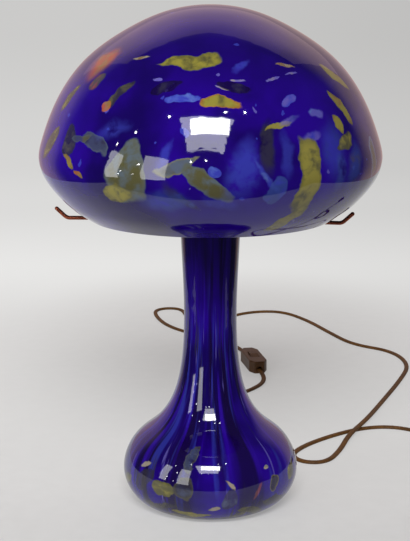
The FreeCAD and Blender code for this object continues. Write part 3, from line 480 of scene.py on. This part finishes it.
def foot_ground(w, position, ragged, grain):
    """The foot under its front chips: streaked along the neck, with painted shade darkening it up under the
    shade.
    """
    _, y, height = w.split(position)
    colour = drawn_streaks(w, cobalt(w, ragged), position)
    # painted shade of the overhanging shade on the top of the neck
    colour = w.mix(w.ramp(height, *NECK_PAINTED_SHADE, 0.0, NECK_SHADE_COVER), colour, INK)
    behind = w.math("MULTIPLY", w.ramp(y, *BACK_SETS_IN), w.ramp(height, *FOOT_FLECKS_END))
    return with_flecks(w, colour, ragged, grain, behind)


def cased_glass(name, ground, chips, stations):
    """Glossy blown glass: a ground of its own with the front's chips on it, and a slight ripple."""
    def build(w, position):
        ragged = melted(w, position, *RAGGED_PUSHES)
        grain = w.noise(ragged, GRAIN_SCALE, 3.0)
        colour = with_chips(w, ground(w, position, ragged, grain), ragged, grain, chips, stations)
        ripple = w.noise(position, RIPPLE_SCALE)
        return {"Base Color": colour, "Roughness": GLASS_ROUGHNESS, "IOR": GLASS_IOR,
                "Normal": bump(w, ripple, RIPPLE_DEPTH, RIPPLE_STRENGTH)}
    return material(name, build)


SHADE_GLASS = cased_glass("Cobalt Glass Shade", shade_ground, SHADE_CHIPS, SHADE_STATIONS)
FOOT_GLASS = cased_glass("Cobalt Glass Foot", foot_ground, FOOT_CHIPS, FOOT_STATIONS)


# ---- other finishes --------------------------------------------------------------------------------------
def opal(w, position):
    marks = marks_on(w, position, grain=300.0, smudge=30.0, roughness=0.2, spread=0.1)
    return {"Base Color": w.mix(marks["Grain"], srgb(228, 226, 218), srgb(246, 245, 240)),
            "Roughness": marks["Roughness"], "Coat Weight": 0.5, "Subsurface Weight": 0.2}


def clear(w, position):
    marks = marks_on(w, position, grain=200.0, smudge=30.0, roughness=0.04, spread=0.03)
    return {"Base Color": srgb(238, 244, 242), "Roughness": marks["Roughness"], "IOR": GLASS_IOR,
            "Transmission Weight": 1.0}


FINISHES = {
    "copper_wire": plain_finish("Dull Copper Wire", srgb(176, 98, 70), srgb(112, 56, 42), roughness=0.5,
                                spread=0.3, metal=1.0, grain=700.0, smudge=120.0),
    "brass": plain_finish("Satin Brass", srgb(206, 168, 96), srgb(164, 124, 62), roughness=0.34,
                          spread=0.25, metal=1.0),
    "steel": plain_finish("Zinc Plated Steel", srgb(188, 190, 192), srgb(140, 142, 146), roughness=0.36,
                          spread=0.25, metal=1.0),
    "solder": plain_finish("Solder", srgb(176, 176, 172), srgb(128, 128, 126), roughness=0.4,
                           spread=0.3, metal=1.0),
    "tungsten": plain_finish("Tungsten Wire", srgb(96, 96, 100), srgb(62, 62, 66), roughness=0.45,
                             metal=1.0),
    "black_rubber": plain_finish("Black Rubber", srgb(34, 34, 34), srgb(20, 20, 20), roughness=0.75),
    "porcelain": plain_finish("Glazed Porcelain", srgb(236, 233, 224), srgb(214, 209, 196), roughness=0.16,
                              spread=0.12),
    "black_glass": plain_finish("Black Cap Glass", srgb(20, 16, 30), srgb(8, 6, 14), roughness=0.12,
                                spread=0.1),
    "brown_plastic": plain_finish("Brown Moulded Plastic", srgb(84, 52, 20), srgb(60, 36, 12),
                                  roughness=0.45, specular=0.28, grain=1400.0, smudge=60.0, depth=0.00006),
    "brown_flex": plain_finish("Brown Flex", srgb(100, 65, 24), srgb(70, 44, 15), roughness=0.55,
                               specular=0.22, grain=500.0, smudge=60.0, depth=0.00005),
    "opal_glass": material("Opal Glass", opal), "clear_glass": material("Clear Glass", clear),
}


def dress_nodes():
    """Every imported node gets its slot's finish, apart from the two blown glasses, which have their own."""
    blown = {"shade_glass": SHADE_GLASS, "foot_glass": FOOT_GLASS}
    for part in frame["record"]["subparts"]:
        name = part["node"]
        finish = blown[name] if name in blown else FINISHES[part["material_slot"]]
        nodes[name].data.materials.clear()
        nodes[name].data.materials.append(finish)


dress_nodes()

# ---- cord ------------------------------------------------------------------------------------------------
# The route's points are those of the lamp's own drawing, in mm; the flat flex lies lower than a round one.
FLEX_WIDTH = 5.4
FLEX_THICKNESS = 3.2
CORE_SWEEP, CORE_STEPS = 220, 8              # degrees of each core's round side, and its steps
FLOOR = FLEX_THICKNESS / 2
CROSSING_GAP = 0.9
OVER = FLOOR + FLEX_THICKNESS + CROSSING_GAP
EXIT = Vector((0, 76, 26))
SWITCH_HEADING = math.radians(101)
SWITCH_NEAR = Vector((60, 405, 5.5))
SWITCH_LENGTH = 68
SWITCH_GRIP = 8
RUN_INTO_SWITCH = 36
RUN_FROM_SWITCH = 44
FIRST_ROUTE = [(0, 122, 26), (-5, 168, 13), (-14, 214, FLOOR), (-8, 262, FLOOR), (16, 300, FLOOR),
               (47, 330, FLOOR)]
SECOND_ROUTE = [
    (13, 568, FLOOR), (-26, 592, FLOOR), (-58, 632, FLOOR), (-75, 680, FLOOR), (-81, 724, FLOOR),
    (-63, 740, FLOOR), (-41, 732, FLOOR), (-34, 690, FLOOR), (-23, 648, FLOOR), (8, 648, FLOOR),
    (34, 698, FLOOR), (70, 720, FLOOR), (106, 716, FLOOR), (137, 664, FLOOR), (161, 598, FLOOR),
    (186, 536, FLOOR), (234, 504, FLOOR), (247, 440, FLOOR), (226, 372, FLOOR), (196, 292, FLOOR),
    (168, 210, OVER), (144, 160, OVER), (132, 124, FLOOR), (116, 88, FLOOR), (92, 87, FLOOR),
    (80, 108, FLOOR), (98, 140, FLOOR), (134, 175, FLOOR), (167, 196, FLOOR), (197, 198, FLOOR),
]
COIL_CENTRE = Vector((268, 192, 0))
COIL_OUTER = 33.8
COIL_PITCH = 6.2
COIL_LAYER = 6.0
COIL_FLOOR = 3.4
TURNS_PER_LAYER = 1.6
COIL_START = math.radians(236)
COIL_POINTS_PER_TURN = 16
RUN_AT_COIL = 30
RUN_AT_PLUG = 41
PLUG_TURN = math.radians(10)
PLUG_AXIS = 6.85


def round_about(radius, angle, height=0.0):
    return Vector((radius * math.cos(angle), radius * math.sin(angle), height))


def coil_point(turns):
    """In along the lower layer, up where the spiral reverses, out along the upper one."""
    radius = COIL_OUTER - COIL_PITCH * (TURNS_PER_LAYER - abs(turns - TURNS_PER_LAYER))
    climb = min(max((turns - TURNS_PER_LAYER) * 2 + 0.5, 0.0), 1.0)
    rise = COIL_LAYER * climb * climb * (3 - 2 * climb)
    return COIL_CENTRE + round_about(radius, COIL_START + 2 * math.pi * turns, COIL_FLOOR + rise)


def coil_heading(turns):
    step = 0.002
    return (coil_point(turns + step) - coil_point(turns - step)).normalized()


def cord_route():
    """The points of the whole cord, each with how far the flat flex is turned on edge there."""
    along = round_about(1, SWITCH_HEADING)
    far = SWITCH_NEAR + along * SWITCH_LENGTH
    before = SWITCH_NEAR - along * RUN_INTO_SWITCH
    after = far + along * RUN_FROM_SWITCH
    before.z = after.z = FLOOR
    flat = [EXIT] + [Vector(place) for place in FIRST_ROUTE]
    flat += [before, SWITCH_NEAR + along * SWITCH_GRIP, far - along * SWITCH_GRIP, after]
    flat += [Vector(place) for place in SECOND_ROUTE]
    last_corner = coil_point(0) - coil_heading(0) * RUN_AT_COIL
    last_corner.z = FLOOR
    flat.append(last_corner)
    count = round(2 * TURNS_PER_LAYER * COIL_POINTS_PER_TURN)
    coil = [coil_point(2 * TURNS_PER_LAYER * i / count) for i in range(count + 1)]
    heading = coil_heading(2 * TURNS_PER_LAYER)
    bend = coil[-1] + heading * RUN_AT_COIL
    bend.z = PLUG_AXIS
    end = bend + round_about(RUN_AT_PLUG, math.atan2(heading.y, heading.x) - PLUG_TURN)
    return [(place, 0.0) for place in flat] + [(place, 1.0) for place in coil] + [(bend, 0.5), (end, 0.0)]


def flex_section():
    """Two round cores side by side with a shallow groove between them, as a closed curve."""
    curve = bpy.data.curves.new("flex_section", "CURVE")
    curve.dimensions = "2D"
    radius = FLEX_THICKNESS / 2 * MM
    offset = FLEX_WIDTH / 2 * MM - radius
    points = []
    for side, turn in ((1, 0.0), (-1, math.pi)):
        for step in range(CORE_STEPS + 1):
            angle = math.radians(CORE_SWEEP * (step / CORE_STEPS - 0.5)) + turn
            points.append((side * offset + radius * math.cos(angle), radius * math.sin(angle)))
    spline = curve.splines.new("POLY")
    spline.points.add(len(points) - 1)
    for point, (x, y) in zip(spline.points, points):
        point.co = (x, y, 0, 1)
    spline.use_cyclic_u = True
    section = bpy.data.objects.new("flex_section", curve)
    bpy.context.scene.collection.objects.link(section)
    section.hide_render = True
    return section


def make_cord():
    """The whole flex as one smooth curve, from the hole in the foot to the plug."""
    curve = bpy.data.curves.new("flex_cord", "CURVE")
    curve.dimensions = "3D"
    curve.twist_mode = "Z_UP"
    curve.resolution_u = 8
    curve.bevel_mode = "OBJECT"
    curve.bevel_object = flex_section()
    curve.use_fill_caps = True
    spline = curve.splines.new("NURBS")
    route = cord_route()
    spline.points.add(len(route) - 1)
    for point, (place, on_edge) in zip(spline.points, route):
        point.co = (*(place * MM), 1)
        point.tilt = on_edge * math.pi / 2
    spline.order_u = 3
    spline.use_endpoint_u = True
    cord = bpy.data.objects.new("flex_cord", curve)
    cord.data.materials.append(FINISHES["brown_flex"])
    bpy.context.scene.collection.objects.link(cord)
    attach(cord, "stand")
    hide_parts("cord_foot_to_switch", "cord_switch_to_coil", "cord_coil", "cord_to_plug")


make_cord()

# ---- studio ----------------------------------------------------------------------------------------------
PAPER = (0.80, 0.795, 0.785, 1.0)
WARM_ROOM = (0.62, 0.44, 0.40, 1.0)
DIM_ROOM = (0.045, 0.047, 0.05, 1.0)
FILL = (0.24, 0.24, 0.245, 1.0)
WARM_ROOM_SETS_IN = (0.4, 0.7)                     # how far a way points to the back, from 0 to 1
# painted falloff of the light: the backdrop beyond the table darkens upwards from its foot
BACKDROP_FOOT, HIGH_TONE = (-0.13, -0.03), 0.73    # how far down a way points, and the tone above that
TABLE_HALF_WIDTH = 0.68
TABLE_FRONT, TABLE_BACK = -0.28, 2.4
MIDDLE_TONE, FAR_TONE, SIDE_TONES = 0.87, 0.82, (1.02, 0.90)
# painted falloff of the light across the paper and the backdrop
SIDES = (-0.4, 0.6)                                # x between which the paper darkens to the right
# y from and to, and the paper's tone of painted light and shade at each, one band upon another
PAINTED_PAPER_BANDS = [(-0.15, 0.05, 0.80, 1.0), (0.25, 0.8, 0.97, 1.0), (0.9, 1.7, 1.0, MIDDLE_TONE),
               (1.7, TABLE_BACK, 1.0, FAR_TONE / MIDDLE_TONE)]
# the same for how much of it shows at an even tone, one band added to another
EVEN_BANDS = [(-0.1, 0.3, 0.42, 0.64), (0.45, 1.1, 0.0, 0.36)]
SHADOW_CENTRE = (0.03, 0.62)                       # where the lamp's shadow lies on the paper
SHADOW_REACH = (0.30, 0.38)
SHADOW_EDGE, SHADOW_EVEN = (0.3, 1.2), 0.62
GLASS_CENTRE = Vector((0, -0.135, 0.36))
CAMERA_TO_EDGE = TABLE_BACK - CAMERA_PLACE[1]


def painted_side_falloff(w, sideways, reach):
    """Painted falloff of the light: a little darker towards the right, over the width that shows at a
    distance.
    """
    return w.ramp(sideways, SIDES[0] / reach, SIDES[1] / reach, *SIDE_TONES)


def painted_paper_light(w, x, y):
    """Painted light on the paper: lightest in the middle of the sheet, with a little painted shade near the
    lamp and towards the front, and painted falloff towards the far edge.
    """
    tone = painted_side_falloff(w, x, 1.0)
    for start, end, from_tone, to_tone in PAINTED_PAPER_BANDS:
        tone = w.math("MULTIPLY", tone, w.ramp(y, start, end, from_tone, to_tone))
    return tone


def paper_share(w, x, y):
    """How much of the paper shows at an even tone; the rest shows the lights and shadows."""
    across = w.math("DIVIDE", w.math("SUBTRACT", x, SHADOW_CENTRE[0]), SHADOW_REACH[0])
    back = w.math("DIVIDE", w.math("SUBTRACT", y, SHADOW_CENTRE[1]), SHADOW_REACH[1])
    off = w.math("SQRT", w.math("ADD", w.math("MULTIPLY", across, across), w.math("MULTIPLY", back, back)))
    usual = w.math("ADD", *(w.ramp(y, *band) for band in EVEN_BANDS))
    return w.math("MULTIPLY", usual, w.ramp(off, *SHADOW_EDGE, SHADOW_EVEN, 1.0))


def paper_finish():
    """White paper that takes the lights and shadows, and partly glows with a tone of painted light of its
    own.
    """
    finish = plain_finish("White Paper", srgb(206, 205, 204), srgb(201, 200, 199), roughness=0.7, spread=0.1,
                          grain=60.0, smudge=2.0)
    w = Wiring(finish.node_tree)
    shader = next(node for node in finish.node_tree.nodes if node.type == "BSDF_PRINCIPLED")
    output = next(node for node in finish.node_tree.nodes if node.type == "OUTPUT_MATERIAL")
    x, y, _ = w.split(w.position())
    path = w.add("ShaderNodeLightPath").outputs
    seen = w.math("MAXIMUM", path["Is Camera Ray"], path["Is Glossy Ray"])
    # the glow's strength is painted light and shade laid over the paper
    glow = w.add("ShaderNodeEmission", {"Color": PAPER, "Strength": painted_paper_light(w, x, y)})
    share = w.math("MULTIPLY", paper_share(w, x, y), seen)
    mixed = w.add("ShaderNodeMixShader", {0: share, 1: shader.outputs[0], 2: glow.outputs[0]})
    w.feed(output.inputs["Surface"], mixed.outputs[0])
    return finish


def make_table():
    """White paper laid over a table top."""
    mesh = bmesh.new()
    bmesh.ops.create_grid(mesh, x_segments=1, y_segments=1, size=0.5)
    depth = TABLE_BACK - TABLE_FRONT
    bmesh.ops.scale(mesh, vec=(2 * TABLE_HALF_WIDTH, depth, 1), verts=mesh.verts)
    bmesh.ops.translate(mesh, vec=(0, TABLE_FRONT + depth / 2, 0), verts=mesh.verts)
    bmesh.ops.recalc_face_normals(mesh, faces=mesh.faces)
    data = bpy.data.meshes.new("paper_table")
    mesh.to_mesh(data)
    mesh.free()
    table = bpy.data.objects.new("paper_table", data)
    table.data.materials.append(paper_finish())
    bpy.context.scene.collection.objects.link(table)


def make_room():
    """The room: pale paper behind the lamp to the camera, darkening upwards and to the right with painted
    falloff of the light, and a warm far side in the glass.
    """
    world = bpy.data.worlds.new("studio")
    world.use_nodes = True
    world.node_tree.nodes.clear()
    w = Wiring(world.node_tree)
    x, y, z = w.split(w.add("ShaderNodeTexCoord").outputs["Generated"])
    path = w.add("ShaderNodeLightPath").outputs
    # painted falloff of the light on the backdrop, darker upwards and to the right
    tone = w.ramp(z, *BACKDROP_FOOT, FAR_TONE, HIGH_TONE)
    tone = w.math("MULTIPLY", tone, painted_side_falloff(w, x, CAMERA_TO_EDGE))
    backdrop = w.add("ShaderNodeBackground", {"Color": PAPER, "Strength": tone}).outputs[0]
    reflected = w.mix(w.ramp(y, *WARM_ROOM_SETS_IN), DIM_ROOM, WARM_ROOM)
    light = w.mix(path["Is Glossy Ray"], FILL, reflected)
    room = w.add("ShaderNodeBackground", {"Color": light, "Strength": 1.0}).outputs[0]
    mixed = w.add("ShaderNodeMixShader", {0: path["Is Camera Ray"], 1: room, 2: backdrop}).outputs[0]
    w.feed(w.add("ShaderNodeOutputWorld").inputs["Surface"], mixed)
    bpy.context.scene.world = world


WHITE, WARM = (1.0, 1.0, 1.0), (1.0, 0.70, 0.64)
# The window's frame narrows downwards, so it is strips, one under another.
FRAME_WIDTHS = [1.90, 1.77, 1.64, 1.51, 1.38]
FRAME_AZIMUTH, FRAME_TOP, FRAME_STEP, FRAME_DISTANCE = -3.5, 45.8, 3.66, 3.3
STRIP_HEIGHT, FRAME_RADIANCE = 0.212, 7
# degrees to the right of the front, degrees up and size of each small lamp
SPOTS = [(-37, 44, 0.036), (15, 50, 0.04), (32, 48, 0.036), (-59, 31, 0.03), (-70, 23, 0.024),
         (-49, 17, 0.03), (-14, 24, 0.026), (-3, 24, 0.026), (-52, -2, 0.022), (-61, 3, 0.022),
         (-62, -3, 0.02)]
SPOT_DISTANCE, SPOT_RADIANCE = 1.7, 90

# name, degrees to the right of the front, degrees up, distance, width, height, radiance and tint
LIGHTS = [("window_panes", -0.4, 42.0, 3.2, 1.36, 0.53, 30, WHITE)]
LIGHTS += [(f"window_frame_{number}", FRAME_AZIMUTH, FRAME_TOP - FRAME_STEP * number, FRAME_DISTANCE,
            width, STRIP_HEIGHT, FRAME_RADIANCE, WHITE) for number, width in enumerate(FRAME_WIDTHS)]
LIGHTS += [("left_panel_far", -69, 3, 0.95, 0.18, 0.58, 5.5, WHITE),
           ("left_panel_near", -39, 4, 0.95, 0.28, 0.66, 5.5, WHITE),
           ("back_softbox", 180, 42, 2.3, 3.2, 1.6, 0.33, WARM)]
LIGHTS += [(f"spot_{number}", azimuth, elevation, SPOT_DISTANCE, size, size, SPOT_RADIANCE, WHITE)
           for number, (azimuth, elevation, size) in enumerate(SPOTS)]


def soft_light(name, azimuth, elevation, distance, width, height, radiance, tint):
    """A rectangular light that faces the glass from an azimuth right of the front and an elevation."""
    azimuth, elevation = math.radians(azimuth), math.radians(elevation)
    way = Vector((math.sin(azimuth) * math.cos(elevation), -math.cos(azimuth) * math.cos(elevation),
                  math.sin(elevation)))
    data = bpy.data.lights.new(name, "AREA")
    data.shape = "RECTANGLE"
    data.size, data.size_y = width, height
    data.energy = radiance * math.pi * width * height
    data.color = tint
    light = bpy.data.objects.new(name, data)
    light.location = GLASS_CENTRE + way * distance
    light.rotation_euler = (-way).to_track_quat("-Z", "Y").to_euler()
    bpy.context.scene.collection.objects.link(light)


make_table()
make_room()
for light in LIGHTS:
    soft_light(*light)

bpy.context.scene.view_settings.view_transform = "Standard"
